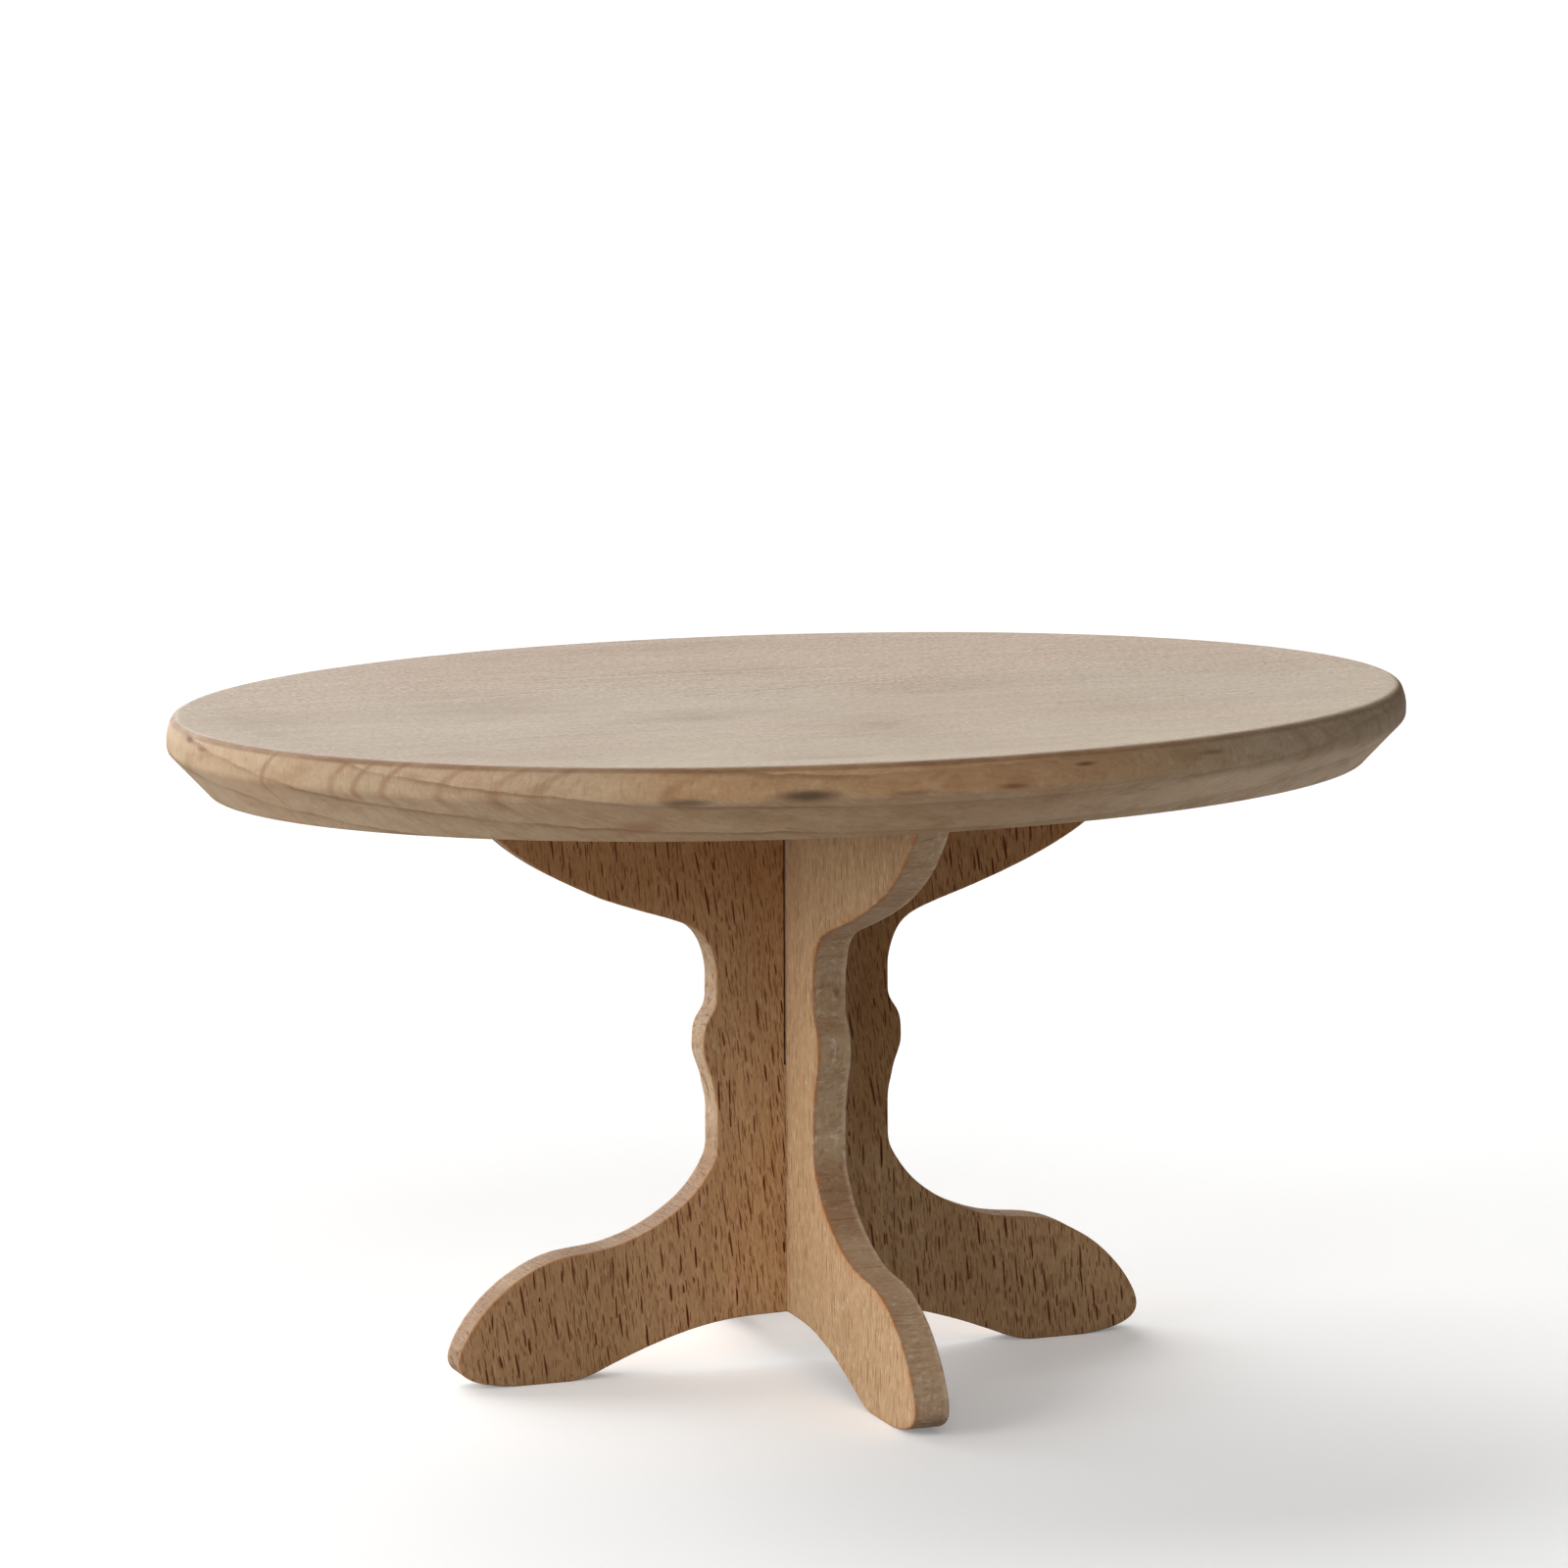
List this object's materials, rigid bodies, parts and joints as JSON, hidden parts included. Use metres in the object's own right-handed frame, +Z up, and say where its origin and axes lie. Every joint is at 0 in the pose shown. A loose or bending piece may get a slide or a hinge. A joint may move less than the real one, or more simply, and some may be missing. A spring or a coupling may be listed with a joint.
{
  "type": "miniature dining table",
  "caption": "Oval dolls' house dining table of plain beech on a pedestal of crossed scroll-sawn boards, with a bevelled underside to the top.",
  "frame": {"origin": "on the floor under the middle of the pedestal", "axes": "+Z up, +X along the long axis of the oval top, +Y across it"},
  "size_m": [0.1168, 0.0846, 0.062],
  "materials": {
    "top_beech": "bare sanded beech, matt",
    "pedestal_beech": "bare sanded beech with ray flecks, matt"
  },
  "bodies": {
    "root": {"tabletop": "top_beech", "lengthwise_board": "pedestal_beech", "crosswise_board": "pedestal_beech"}
  },
  "joints": []
}
